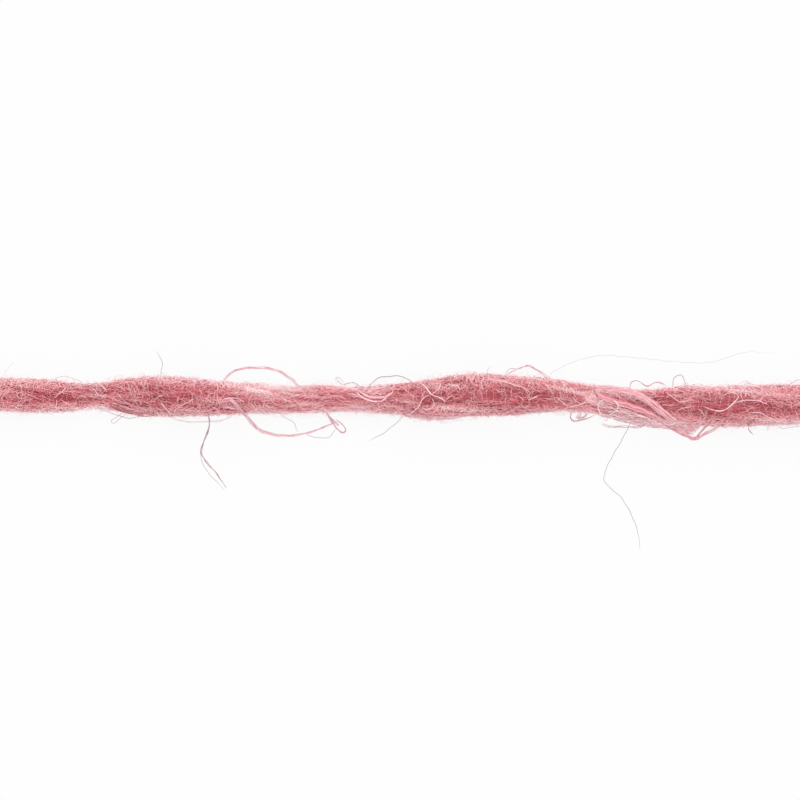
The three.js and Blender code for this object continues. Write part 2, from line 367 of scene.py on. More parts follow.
def crowded_places(count, crowding, sparse):
    """Random places for fibres, more on the bundles and fewer in the hollows and sparse places."""
    along = rng.uniform(-CUT_LENGTH / 2, CUT_LENGTH / 2, (DRAWS * count, 1))
    angle = rng.uniform(0, 2 * math.pi, (DRAWS * count, 1))
    chance = PLAIN_CHANCE + crowding * bundling_and_painted_shade(along, angle)
    for patch in sparse:
        chance *= 1 - patch["missing"] * np.exp(-(((along - patch["middle"]) / patch["reach"]) ** 2))
    kept = (rng.random((DRAWS * count, 1)) < chance).ravel()
    return along[kept][:count], angle[kept][:count]


def wandering_routes(
    count, steps, length, lift, tuck, closing, bob, sway, slant, turning, thick, tint, overhang,
    crowding=0, sparse=(), painted_edge_light=PAINTED_EDGE_LIGHT,
):
    """Fibres over the strand's surface that follow its twist, waver and turn at random.

    They rise from the tuck at their ends to the lift at their middle, and closing says how much of
    that arch each one has. They waver by bob up and down and by sway to the sides, set out at a slant
    to the twist, and keep turning. overhang is how far they may reach past the cuts.
    """
    place, round_at = crowded_places(count, crowding, sparse)
    count = len(place)
    share = np.linspace(0, 1, steps)
    step = rng.uniform(*length, (count, 1)) / (steps - 1)
    heading = math.atan(math.pi * STRAND_DIAMETER / TWIST_PITCH)
    heading = heading + rng.normal(0, slant, (count, 1))
    heading = heading + np.cumsum(rng.normal(0, turning, (count, steps)), axis=1)
    along = np.cumsum(step * np.cos(heading), axis=1)
    along += place - along.mean(axis=1, keepdims=True)
    end = CUT_LENGTH / 2 + rng.uniform(*overhang, (count, 1))
    along -= np.maximum(along.max(axis=1, keepdims=True) - end, 0)
    along += np.maximum(-end - along.min(axis=1, keepdims=True), 0)
    angle = 2 * np.cumsum(step * np.sin(heading), axis=1) / STRAND_DIAMETER
    angle += round_at - angle.mean(axis=1, keepdims=True)
    low, high = lift
    rest = low + (high - low) * rng.random((count, 1)) ** 2
    closed = rng.uniform(*closing, (count, 1))
    rising = tuck + (rest - tuck) * np.sin(math.pi * share * closed) ** ARCH_FULLNESS
    waves = 2 * math.pi * (share * rng.uniform(*WAVES_ALONG, (count, 1)) + rng.random((count, 1)))
    angle += 2 * sway * np.cos(waves) / STRAND_DIAMETER
    raised = bundling_and_painted_shade(along, angle)
    routes = strand_points(along, angle, rising + bob * np.sin(waves) + RELIEF_HEIGHT * raised)
    taper = np.interp(share, (0, THINNING, 1 - THINNING, 1), (TIP_SHARE, 1, 1, TIP_SHARE))
    thickness = rng.uniform(*thick, (count, 1)) * taper
    routes[..., 2] = np.maximum(routes[..., 2], thickness / 2)
    # The tint takes the bundling, with painted shade in its hollows, and painted_edge_light paints the
    # fibres paler towards the strand's edges as painted light.
    shade = rng.uniform(*tint, (count, 1)) + raised + painted_edge_light * np.cos(angle) ** PAINTED_EDGE_LIGHT_POWER
    return routes, thickness, shade


CRIMSON = (0.46, 0.092, 0.115)
ROSE = (0.78, 0.325, 0.35)
PALE_ROSE = (0.895, 0.54, 0.57)
BLUSH = (0.97, 0.78, 0.80)
WOOL_STOPS = ((0.0, CRIMSON), (0.25, DEEP_ROSE), (0.5, ROSE), (0.78, PALE_ROSE), (1.0, BLUSH))
FIBRE_ROUGHNESS = 0.7
FIBRE_SHINE = 0.15


def wool_material(name, stops):
    """Dyed wool fibre, coloured by its tint from the deepest stop to the palest."""
    material = bpy.data.materials.new(name)
    material.use_nodes = True
    nodes, links = material.node_tree.nodes, material.node_tree.links
    shader = nodes["Principled BSDF"]
    shader.inputs["Roughness"].default_value = FIBRE_ROUGHNESS
    shader.inputs["Specular IOR Level"].default_value = FIBRE_SHINE
    tint = nodes.new("ShaderNodeAttribute")
    tint.attribute_name = "tint"
    ramp = ramp_node(nodes, stops)
    links.new(tint.outputs["Fac"], ramp.inputs["Fac"])
    links.new(ramp.outputs["Color"], shader.inputs["Base Color"])
    return material


# Places along the strand where the wool lies smoother, and the share of the curled, crossing and
# short fibres that is missing in their middle
SMOOTHER = [
    dict(middle=-9, reach=5.5, missing=0.4),
    dict(middle=10.5, reach=2.5, missing=0.6),
    dict(middle=22, reach=4.5, missing=0.6),
]
FAMILIES = {
    "spun_fibres": dict(
        count=2000, steps=12, length=(5, 14), thick=(0.08, 0.14), tint=(0.20, 0.38), crowding=0.5,
        lift=(-0.08, 0.06), tuck=-0.2, closing=(1, 1), bob=0.02, sway=0.1, slant=0.16, turning=0.1,
        overhang=(-0.5, 1.6),
    ),
    "crimped_fibres": dict(
        count=3300, steps=10, length=(1.5, 5), thick=(0.05, 0.09), tint=(0.32, 0.56), crowding=1.5,
        lift=(0.0, 0.14), tuck=-0.15, closing=(1, 1), bob=0.03, sway=0.1, slant=0.4, turning=0.3,
        overhang=(-0.5, 1.2),
    ),
    "curled_fibres": dict(
        count=3400, steps=8, length=(0.5, 2.4), thick=(0.035, 0.07), tint=(0.44, 0.78), crowding=3,
        lift=(0.08, 0.3), tuck=-0.1, closing=(1, 1), bob=0.03, sway=0.05, slant=0.8, turning=0.4,
        overhang=(-0.5, 0.6), sparse=SMOOTHER,
    ),
    "crossing_fibres": dict(
        count=800, steps=12, length=(1.5, 4.5), thick=(0.035, 0.06), tint=(0.55, 0.9), crowding=1,
        lift=(0.14, 0.32), tuck=-0.15, closing=(1, 1), bob=0.03, sway=0.1, slant=0.8, turning=0.25,
        overhang=(-0.5, 0.6), sparse=SMOOTHER,
    ),
    "short_fibres": dict(
        count=4900, steps=5, length=(0.3, 1.2), thick=(0.03, 0.05), tint=(0.42, 0.74), crowding=3,
        lift=(0.05, 0.3), tuck=-0.1, closing=(1, 1), bob=0, sway=0.04, slant=1.5, turning=0.5,
        overhang=(-0.5, 0.6), sparse=SMOOTHER,
    ),
}
wool = wool_material("wool_fibre", WOOL_STOPS)
for name, family in FAMILIES.items():
    fibre_piece(name, [wandering_routes(**family)], wool)

# Halo: the finest fibres, which stand off the strand all round and blur its edges. They are so thin
# that the light goes round them, and they look paler than the wool.
HALO_ROSE = (0.90, 0.55, 0.57)
HALO_WHITE = (0.86, 0.76, 0.76)
# painted_edge_light paints the halo fibres much paler towards the strand's edges: painted light.
HALO = dict(
    count=6100, steps=6, length=(0.5, 1.8), thick=(0.016, 0.026), tint=(0, 0.4), painted_edge_light=0.7,
    lift=(0.15, 0.7), tuck=-0.1, closing=(0.5, 1), bob=0, sway=0, slant=1.2, turning=0.35,
    overhang=(-0.5, 0.6),
)
halo_wool = wool_material("halo_fibre", ((0, HALO_ROSE), (1, HALO_WHITE)))
fibre_piece("halo_fibres", [wandering_routes(**HALO)], halo_wool)

# Cut ends: the fibres inside the strand were cut off with scissors and have frayed out a little.
CUT_FIBRES = 650
CUT_STEPS = 7
CUT_ROOT = 2.5  # how far a fibre starts inside the strand
CUT_RADIUS_SHARE = 0.94
CUT_THICK = (0.08, 0.13)
CUT_TINT = (0.2, 0.8)
CUT_THINNING = 0.2  # share of its length over which a fibre thins to its tip
FRAY_REACH = 2.4
FRAY_RARITY = 3  # the higher, the fewer fibres reach far
FRAY_SPLAY = 0.25
FRAY_TURNING = 0.2


def cut_end_routes(end):
    """Fibres that lie side by side in the strand's section and leave it at one of its two cuts."""
    share = np.linspace(0, 1, CUT_STEPS)
    reach = FRAY_REACH * rng.random((CUT_FIBRES, 1)) ** FRAY_RARITY
    along = end * (CUT_LENGTH / 2 - CUT_ROOT + (CUT_ROOT + reach) * share)
    middle, half_width, high = section_at(along)
    inside = CUT_RADIUS_SHARE * np.sqrt(rng.random((CUT_FIBRES, 1)))
    splay = FRAY_SPLAY * (rng.random((CUT_FIBRES, 1)) - 0.5)
    outward = inside + splay * np.maximum(np.abs(along) - CUT_LENGTH / 2, 0)
    start_angle = rng.uniform(0, 2 * math.pi, (CUT_FIBRES, 1))
    angle = start_angle + rng.normal(0, FRAY_TURNING, (CUT_FIBRES, 1)) * share
    across = middle + half_width * outward * np.cos(angle)
    taper = np.interp(share, (0, 1 - CUT_THINNING, 1), (1, 1, TIP_SHARE))
    thickness = rng.uniform(*CUT_THICK, (CUT_FIBRES, 1)) * taper
    height = np.maximum(high / 2 * (1 + outward * np.sin(angle)), thickness / 2)
    tint = rng.uniform(*CUT_TINT, (CUT_FIBRES, 1)) * np.ones(CUT_STEPS)
    return np.stack([along, across, height], axis=-1), thickness, tint


fibre_piece("cut_fibres", [cut_end_routes(-1), cut_end_routes(1)], wool)

# Locks on the surface: pale fibres and flat ribbons of them that have loosened and lie over the
# strand, tucked into it at their ends.
DROP_REACH = 1.3  # how far beside the strand a fibre comes down to the surface below
ROOT_DEPTH_REACH = 1.4  # how far along its route a fibre rises out of the strand
FELT_DEPTH = 0.26  # how far the felted fibres stand off the strand's surface
LOCK_STEP = 0.25
LEAST_STEPS = 5
CRIMP_LENGTH = 1.6
WINDING = 0.5  # spread of the turns by which the fibres of a lock wind round its middle
GATHER_FROM = 0.6  # share of its length from which a lock gathers or spreads
THICK_SPREAD = (0.75, 1.25)
OVER_POWER = 6  # how sharply the painted light over the strand ends at its edges


def beside_share(along, across):
    """1 over the strand, less beside it, and 0 where a fibre has come down to the surface."""
    middle, half_width, _ = section_at(along)
    return 1 - np.clip((np.abs(across - middle) - half_width - FELT_DEPTH) / DROP_REACH, 0, 1)


def resting_height(along, across):
    """Height at which a fibre lies over the strand, or comes down beside it to the surface."""
    middle, half_width, _ = section_at(along)
    angle = np.arccos(np.clip((across - middle) / (half_width + FELT_DEPTH), -1, 1))
    over = strand_points(along, angle, FELT_DEPTH + RELIEF_HEIGHT * bundling_and_painted_shade(along, angle))
    return over[..., 2] * beside_share(along, across) ** 2


def lock_routes(
    route, fibres=1, width=0.0, thick=0.06, tint=(0.75, 0.95), roots="both", sink=0.5, crimp=0.03,
    gather=0.6, painted_light_over=0, above=0, root_reach=ROOT_DEPTH_REACH,
):
    """A lock of fibres that wind slowly round each other along a route seen from above.

    They rise out of the strand, from the share of its height that sink gives, at the first end or at
    both. gather is the share of the width at the last end. Over the strand, above lifts them and
    painted_light_over paints them paler, as painted light.
    """
    corners = np.array(route, float)
    chords = np.append(0, np.cumsum(np.linalg.norm(np.diff(corners, axis=0), axis=1)))
    at = np.linspace(0, chords[-1], max(math.ceil(chords[-1] / LOCK_STEP), LEAST_STEPS) + 1)
    plan = np.stack([smooth_through(chords, corners[:, k], at) for k in range(2)], axis=-1)
    travel = np.gradient(plan, axis=0)
    travel /= np.linalg.norm(travel, axis=1, keepdims=True)
    side = np.stack([-travel[:, 1], travel[:, 0]], axis=-1)
    share = at / chords[-1]
    from_root = at if roots == "first" else np.minimum(at, chords[-1] - at)
    start_phase = rng.uniform(0, 2 * math.pi, (fibres, 1))
    phase = start_phase + 2 * math.pi * rng.normal(0, WINDING, (fibres, 1)) * share
    narrowing = np.interp(share, (0, GATHER_FROM, 1), (1, 1, gather))
    spread = width / 2 * np.sqrt(rng.random((fibres, 1))) * narrowing
    waver = crimp * np.sin(2 * math.pi * (at / CRIMP_LENGTH + rng.random((fibres, 1))))
    offset = spread * np.cos(phase) + waver
    flat = plan + offset[..., None] * side
    taper = np.interp(share, (0, 1 - THINNING, 1), (1, 1, TIP_SHARE))
    thickness = thick * rng.uniform(*THICK_SPREAD, (fibres, 1)) * taper
    over = beside_share(flat[..., 0], flat[..., 1])
    free = resting_height(flat[..., 0], flat[..., 1]) + spread * np.sin(phase) / 2 + above * over
    deep = np.minimum(sink * section_at(flat[..., 0])[2], free)
    risen = np.sqrt(np.clip(from_root / root_reach, 0, 1))
    height = np.maximum(deep + (free - deep) * risen, thickness / 2)
    # painted_light_over paints the fibres paler where they lie over the strand: painted light
    shade = rng.uniform(*tint, (fibres, 1)) + painted_light_over * over**OVER_POWER
    return np.concatenate([flat, height[..., None]], axis=-1), thickness, shade


def fan_routes(first, last, fibres, **look):
    """Single fibres spread evenly between two routes that have as many points."""
    first, last = np.array(first, float), np.array(last, float)
    places = (np.arange(fibres) + rng.random(fibres)) / fibres
    return [lock_routes(first + place * (last - first), **look) for place in places]


# Looks of a lock, which the rows of the tables start from. Sizes are in millimetres.
HAIR = dict(tint=(0.7, 0.92), thick=0.065, above=0.1, root_reach=0.3)
PALE = HAIR | dict(tint=(0.9, 1.0), thick=0.08, above=0.24)
PAIR = HAIR | dict(fibres=2, width=0.06)
SMOOTH = dict(fibres=5, width=0.22, thick=0.09, above=0.05, root_reach=0.5, crimp=0.02)
LIP = SMOOTH | dict(fibres=4, thick=0.06, above=-0.05)
RIBBON = dict(width=0.14, thick=0.055, crimp=0.03, above=0.1, gather=1, root_reach=0.5)
SURFACE_LOCKS = [
    # two hairs that meet in a V on the first bulge
    PAIR | dict(route=[(-23.8, -0.3), (-23.2, -1.0), (-22.8, -1.5)]),
    PAIR | dict(route=[(-22.6, -1.5), (-22.2, -1.0), (-21.2, -0.4), (-20.2, 0.1)]),
    # hairs on the left end and at the first slim place
    PAIR | dict(route=[(-30.0, 1.5), (-29.5, 1.1), (-29.1, 0.6)]),
    HAIR | dict(route=[(-30.8, 1.2), (-30.4, 0.8), (-30.0, 0.3)]),
    HAIR | dict(route=[(-34.5, 0.0), (-34.2, 0.3), (-33.7, 0.7), (-33.2, 1.2)]),
    HAIR | dict(route=[(-34.3, 0.1), (-34.2, -0.4), (-34.3, -0.9)]),
    HAIR | dict(route=[(-34.0, 0.1), (-33.3, -0.4), (-32.6, -0.8)]),
    # hairs on the first bulge
    PAIR | dict(route=[(-18.6, -1.0), (-18.3, -0.8), (-18.1, -0.7)]),
    HAIR | dict(route=[(-24.4, -0.2), (-24.0, 0.2), (-23.3, 0.4)]),
    HAIR | dict(route=[(-26.4, 0.2), (-26.2, -0.4), (-25.9, -0.7), (-25.6, -0.1)]),
    # smooth locks along the dent that the twist leaves at the first slim place
    LIP | dict(
        route=[(-29.2, -0.5), (-27.8, -1.0), (-26.8, -1.3), (-25.5, -1.5), (-24.4, -1.4)],
        tint=(0.3, 0.55),
    ),
    LIP | dict(route=[(-28.9, -0.3), (-27.7, -0.7), (-26.5, -1.1), (-25.2, -1.3)], tint=(0.5, 0.75)),
    LIP | dict(route=[(-28.8, 0.0), (-27.5, -0.4), (-26.2, -0.8), (-25.0, -1.1)], tint=(0.35, 0.6)),
    LIP | dict(
        route=[(-29.2, -0.6), (-27.9, -1.2), (-26.8, -1.5), (-25.5, -1.7), (-24.4, -1.6)],
        tint=(0.0, 0.25),
    ),
    # start of the lock that hangs out as the lower loop
    PAIR | dict(route=[(-17.8, -0.1), (-17.0, 0.1), (-16.0, 0.0), (-15.3, -0.4)]),
    # bows at the second slim place
    PAIR | dict(
        route=[(-4.2, 0.9), (-3.2, 0.3), (-1.8, 0.2), (-0.8, 0.6), (-0.6, 1.0)],
        fibres=4, width=0.2,
    ),
    PAIR | dict(route=[(-3.9, 0.2), (-2.8, -0.2), (-1.8, -0.2), (-1.1, 0.3)]),
    PAIR | dict(route=[(-4.5, 0.7), (-3.4, 0.0), (-2.2, -0.4)], width=0.15),
    PAIR | dict(route=[(-5.4, 0.6), (-4.4, 0.4), (-3.2, -0.1)], width=0.15),
    # pale hairs that cross, with a deep red hollow under their hook, where a dark lock lies as painted
    # shade
    PAIR | dict(route=[(1.9, 1.8), (2.5, 1.2), (3.1, 0.5), (4.1, 0.0), (4.8, -0.4)], thick=0.08),
    PAIR | dict(route=[(4.1, 1.7), (3.9, 1.1), (3.1, 0.4)]),
    PAIR | dict(route=[(3.1, 0.4), (2.3, 0.1), (1.8, -0.8), (1.2, -1.3), (0.4, -1.7)]),
    PAIR | dict(route=[(3.1, 0.2), (3.4, -0.6), (2.9, -1.0), (2.0, -0.9)]),
    HAIR | dict(route=[(2.0, -0.8), (2.4, -1.5)]),
    # dark lock laid in the hollow under the hook: painted shade
    SMOOTH | dict(
        route=[(2.1, -0.4), (2.7, -0.2), (3.3, -0.5)],
        fibres=10, width=0.5, tint=(0.0, 0.2), above=0.1,
    ),
    # hairs on the second bulge
    HAIR | dict(route=[(5.0, 1.4), (5.7, 1.3), (6.1, 0.7)]),
    PAIR | dict(route=[(8.2, 2.1), (8.1, 1.4), (8.4, 0.7)]),
    PAIR | dict(route=[(8.4, 1.9), (9.9, 1.8), (11.3, 1.4), (12.4, 1.0), (13.1, 0.5)]),
    PAIR | dict(route=[(12.6, -0.1), (13.2, 0.1), (13.9, 0.4)]),
    HAIR | dict(route=[(14.2, 1.7), (14.8, 1.0), (15.4, 0.4)]),
    HAIR | dict(route=[(15.5, 0.3), (16.2, -0.4), (16.9, -0.9)]),
    HAIR | dict(route=[(19.3, 1.1), (18.8, 0.1), (17.8, -0.6), (16.8, -0.8)]),
    # ring of pale hairs and the curls beside it, under the folded ribbon
    PALE | dict(route=[(20.4, 0.0), (19.9, -0.2), (19.7, -0.7), (19.9, -1.3), (20.2, -1.9)]),
    PALE | dict(
        route=[(21.0, -0.1), (21.5, -0.4), (21.7, -0.9), (21.3, -1.3), (20.7, -1.6), (20.0, -1.5)],
    ),
    PALE | dict(route=[(21.0, -1.3), (21.8, -1.8), (22.6, -2.1), (23.3, -2.2)], thick=0.06),
    PALE | dict(route=[(21.3, -1.2), (22.2, -1.3), (22.8, -1.7), (22.6, -2.1)], thick=0.06),
    PALE | dict(route=[(22.6, -1.2), (23.3, -1.9), (24.5, -2.2)], thick=0.06),
    PALE | dict(route=[(23.2, -1.4), (24.3, -1.8), (25.6, -2.3)], thick=0.06),
    HAIR | dict(
        route=[(19.6, -1.2), (19.9, -1.5), (20.4, -1.7), (20.9, -1.9), (20.7, -2.2), (20.4, -2.0)],
    ),
    # bow and hairs right of the folded ribbon
    PAIR | dict(
        route=[(26.4, 0.8), (27.0, 0.3), (27.7, -0.2), (28.4, -0.2), (29.0, 0.0)],
        fibres=3, width=0.14, tint=(0.65, 0.9), thick=0.05,
    ),
    HAIR | dict(route=[(25.9, -0.5), (26.6, -0.6), (27.4, -0.6)]),
    HAIR | dict(route=[(27.4, -1.2), (28.2, -0.9), (29.1, -0.7)]),
    # hook of pale hairs round a deep red hollow, where a dark lock lies as painted shade
    # dark lock laid in the hollow inside the hook: painted shade
    SMOOTH | dict(
        route=[(29.6, -0.5), (30.9, -0.7), (32.2, -0.7)],
        fibres=10, width=0.4, tint=(0.0, 0.2), above=0.1,
    ),
    PAIR | dict(
        route=[
            (29.8, -0.6), (30.7, -1.0), (31.9, -1.2), (32.8, -0.7), (33.6, 0.2), (33.3, 0.6), (32.6, 0.7),
        ],
        width=0.05,
    ),
    # hairs on the right end
    PAIR | dict(route=[(34.5, -1.3), (35.7, -1.4), (37.0, -2.0), (38.3, -2.6)]),
    HAIR | dict(route=[(29.5, -0.9), (30.0, -1.3), (30.3, -1.9)]),
    HAIR | dict(route=[(33.6, -1.4), (34.4, -1.2), (35.2, -0.7)]),
    HAIR | dict(route=[(35.6, -1.5), (35.4, -2.1), (35.2, -2.6)]),
    HAIR | dict(route=[(33.2, -0.4), (34.4, -0.1), (35.6, -0.2), (36.8, -0.6)]),
]
FANS = [
    # fan of fibres under the folded ribbon, and paler ones over it
    dict(
        first=[(19.5, 0.0), (22.8, -1.1), (25.8, -2.2), (28.5, -3.2)],
        last=[(19.0, -1.3), (21.6, -2.0), (24.3, -2.6), (27.2, -2.9)],
        fibres=24, thick=0.08, tint=(0.45, 0.9), width=0.4, crimp=0.05, sink=0.1, root_reach=1.2,
        above=-0.1,
    ),
    dict(
        first=[(20.2, -0.3), (23.0, -1.3), (25.8, -2.2), (28.5, -3.1)],
        last=[(20.0, -1.6), (21.6, -1.9), (24.0, -2.4), (27.2, -2.7)],
        fibres=14, thick=0.06, tint=(0.8, 1.0), width=0.6, crimp=0.1, sink=0.1, root_reach=0.8,
    ),
    # short fibres across the gap between the ribbon's two bands, real fibres whose deep red tint is
    # partly painted shade of the gap
    # the low tint of these fibres stands partly for the shade between the raised bands: painted shade
    dict(
        first=[(22.6, 0.1), (22.8, -0.2), (23.0, -0.5)],
        last=[(25.6, -1.1), (25.5, -1.4), (25.4, -1.8)],
        fibres=12, thick=0.05, tint=(0.1, 0.4), width=0.3, crimp=0.1, root_reach=0.2, above=0.1,
    ),
    # fibres that fill the V of the ribbon's tip
    dict(
        first=[(27.5, -1.4), (29.0, -2.2), (30.3, -2.6)],
        last=[(26.2, -1.9), (27.9, -3.0), (29.4, -3.7)],
        fibres=26, thick=0.07, tint=(0.3, 0.65), width=0.2, roots="first", root_reach=0.5, crimp=0.02,
        above=-0.1,
    ),
    # upper band of the folded ribbon, from its fold to its tip and back into the strand
    RIBBON | dict(
        first=[
            (19.9, 0.1), (19.5, 0.7), (19.7, 1.3), (20.4, 1.4), (21.5, 1.3), (23.0, 1.0), (24.2, 0.5),
            (25.5, -0.4), (26.8, -1.5), (28.2, -2.7), (29.3, -3.8), (30.0, -3.8), (30.7, -3.3),
            (31.6, -2.8), (32.0, -2.2),
        ],
        last=[
            (20.2, 0.4), (20.0, 0.6), (20.1, 0.7), (20.6, 0.6), (21.5, 0.5), (22.8, 0.3), (24.0, -0.1),
            (25.2, -1.0), (26.4, -1.9), (28.0, -3.0), (29.2, -4.0), (30.0, -4.0), (30.8, -3.5),
            (31.7, -3.0), (32.1, -2.3),
        ],
        fibres=20, tint=(0.5, 0.95),
    ),
    # lower band, which goes the same way
    RIBBON | dict(
        first=[
            (20.0, 0.9), (19.7, 0.8), (20.4, 0.4), (21.4, 0.0), (22.8, -0.4), (24.3, -1.0),
            (26.0, -1.9), (27.6, -2.8), (29.2, -3.7), (29.7, -3.8), (30.1, -3.3), (30.5, -2.6),
            (30.7, -1.9),
        ],
        last=[
            (19.8, 0.7), (19.6, 0.4), (20.2, -0.1), (21.2, -0.5), (22.6, -0.9), (24.1, -1.4),
            (25.8, -2.3), (27.5, -3.2), (29.2, -4.0), (29.9, -4.0), (30.2, -3.5), (30.7, -2.7),
            (30.9, -1.9),
        ],
        fibres=15, tint=(0.3, 0.82),
    ),
]
surface_batches = [lock_routes(**lock) for lock in SURFACE_LOCKS]
for fan in FANS:
    surface_batches += fan_routes(**fan)

COOL_ROSE = (0.75, 0.33, 0.365)
COOL_PINK = (0.865, 0.55, 0.59)
COOL_BLUSH = (0.96, 0.80, 0.815)
LOCK_STOPS = ((0.0, CRIMSON), (0.3, DEEP_ROSE), (0.55, COOL_ROSE), (0.82, COOL_PINK), (1.0, COOL_BLUSH))
lock_wool = wool_material("lock_fibre", LOCK_STOPS)
fibre_piece("surface_locks", surface_batches, lock_wool)

